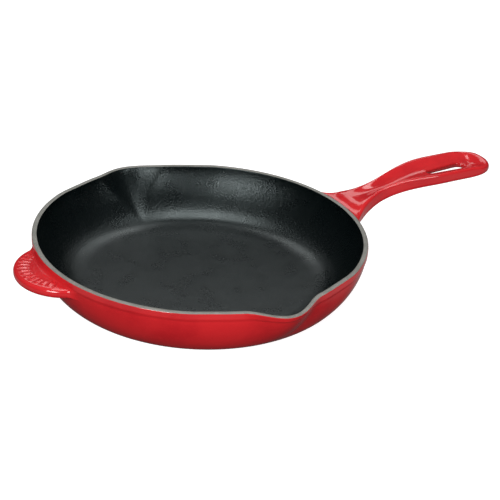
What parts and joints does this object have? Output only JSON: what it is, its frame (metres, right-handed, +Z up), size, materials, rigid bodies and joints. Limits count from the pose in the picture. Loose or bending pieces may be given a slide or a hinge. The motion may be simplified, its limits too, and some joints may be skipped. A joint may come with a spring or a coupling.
{
  "type": "cast iron skillet",
  "caption": "Round enamelled cast iron skillet with opposed pour spouts, a long slotted handle and a short ribbed helper handle.",
  "frame": {"origin": "centre of the flat base, on the surface that the skillet stands on", "axes": "+Z up out of the bowl, +X along the long handle, so that the pour spouts are at +Y and -Y and the helper handle at -X"},
  "size_m": [0.426, 0.281, 0.0631],
  "materials": {
    "cast_iron": "as cast",
    "ground_coat": "matte",
    "black_enamel": "satin, fine orange peel",
    "red_enamel": "gloss"
  },
  "bodies": {
    "root": {"bowl_casting": "cast_iron", "handle_casting": "cast_iron", "helper_handle_casting": "cast_iron", "rim_ground_coat": "ground_coat", "interior_enamel": "black_enamel", "bowl_enamel": "red_enamel", "base_enamel": "red_enamel", "handle_enamel": "red_enamel", "helper_handle_enamel": "red_enamel"}
  },
  "joints": []
}
